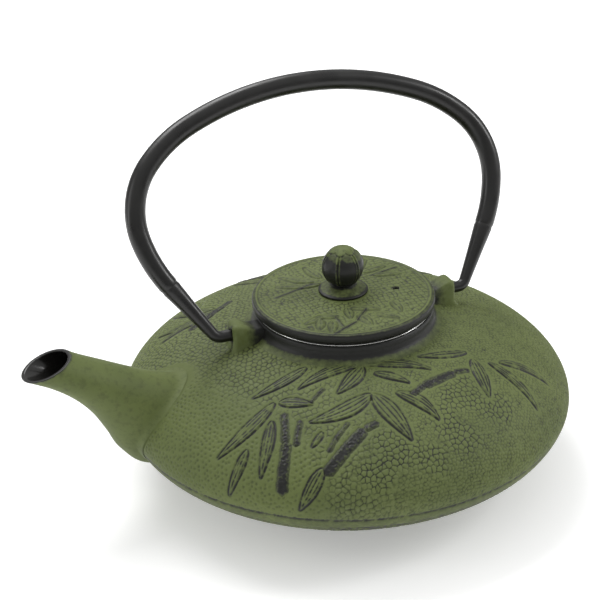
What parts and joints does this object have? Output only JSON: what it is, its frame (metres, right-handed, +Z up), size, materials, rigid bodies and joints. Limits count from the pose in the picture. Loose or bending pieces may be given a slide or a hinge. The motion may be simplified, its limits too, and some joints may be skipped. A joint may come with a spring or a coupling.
{
  "type": "cast iron teapot",
  "caption": "Low round cast iron teapot with an upturned spout, lift-off lid with ball knob, drop-in strainer and a swinging bail handle.",
  "frame": {"origin": "centre of the flat underside, on the pot's axis", "axes": "+Z up, the spout points to -X, and the handle pivots about a line along X"},
  "size_m": [0.2304, 0.19, 0.1585],
  "materials": {
    "pot_iron": "matt green paint rubbed over black iron",
    "lid_iron": "matt green paint rubbed over black iron",
    "knob_iron": "black with green rubbed over the top",
    "rivet_steel": "blackened",
    "handle_black": "satin black lacquer",
    "strainer_steel": "bright stainless"
  },
  "bodies": {
    "pot": {"vessel": "pot_iron"},
    "strainer": {"infuser_rim": "strainer_steel", "infuser_wall": "strainer_steel", "infuser_base_ring": "strainer_steel", "infuser_base": "strainer_steel"},
    "lid": {"lid": "lid_iron", "knob": "knob_iron", "knob_rivet": "rivet_steel", "rivet_washer": "rivet_steel"},
    "handle": {"handle_tube": "handle_black", "handle_end_spout": "handle_black", "handle_end_back": "handle_black"}
  },
  "joints": [
    {"name": "handle_swing", "type": "hinge", "parent": "pot", "child": "handle", "pos_m": [0, 0, 0.0672], "axis": [1, 0, 0], "range_deg": [-78, 129]},
    {"name": "strainer_lift", "type": "slide", "parent": "pot", "child": "strainer", "axis": [0, 0, 1], "range_m": [0, 0.055]},
    {"name": "lid_lift", "type": "slide", "parent": "strainer", "child": "lid", "axis": [0, 0, 1], "range_m": [0, 0.06]}
  ]
}
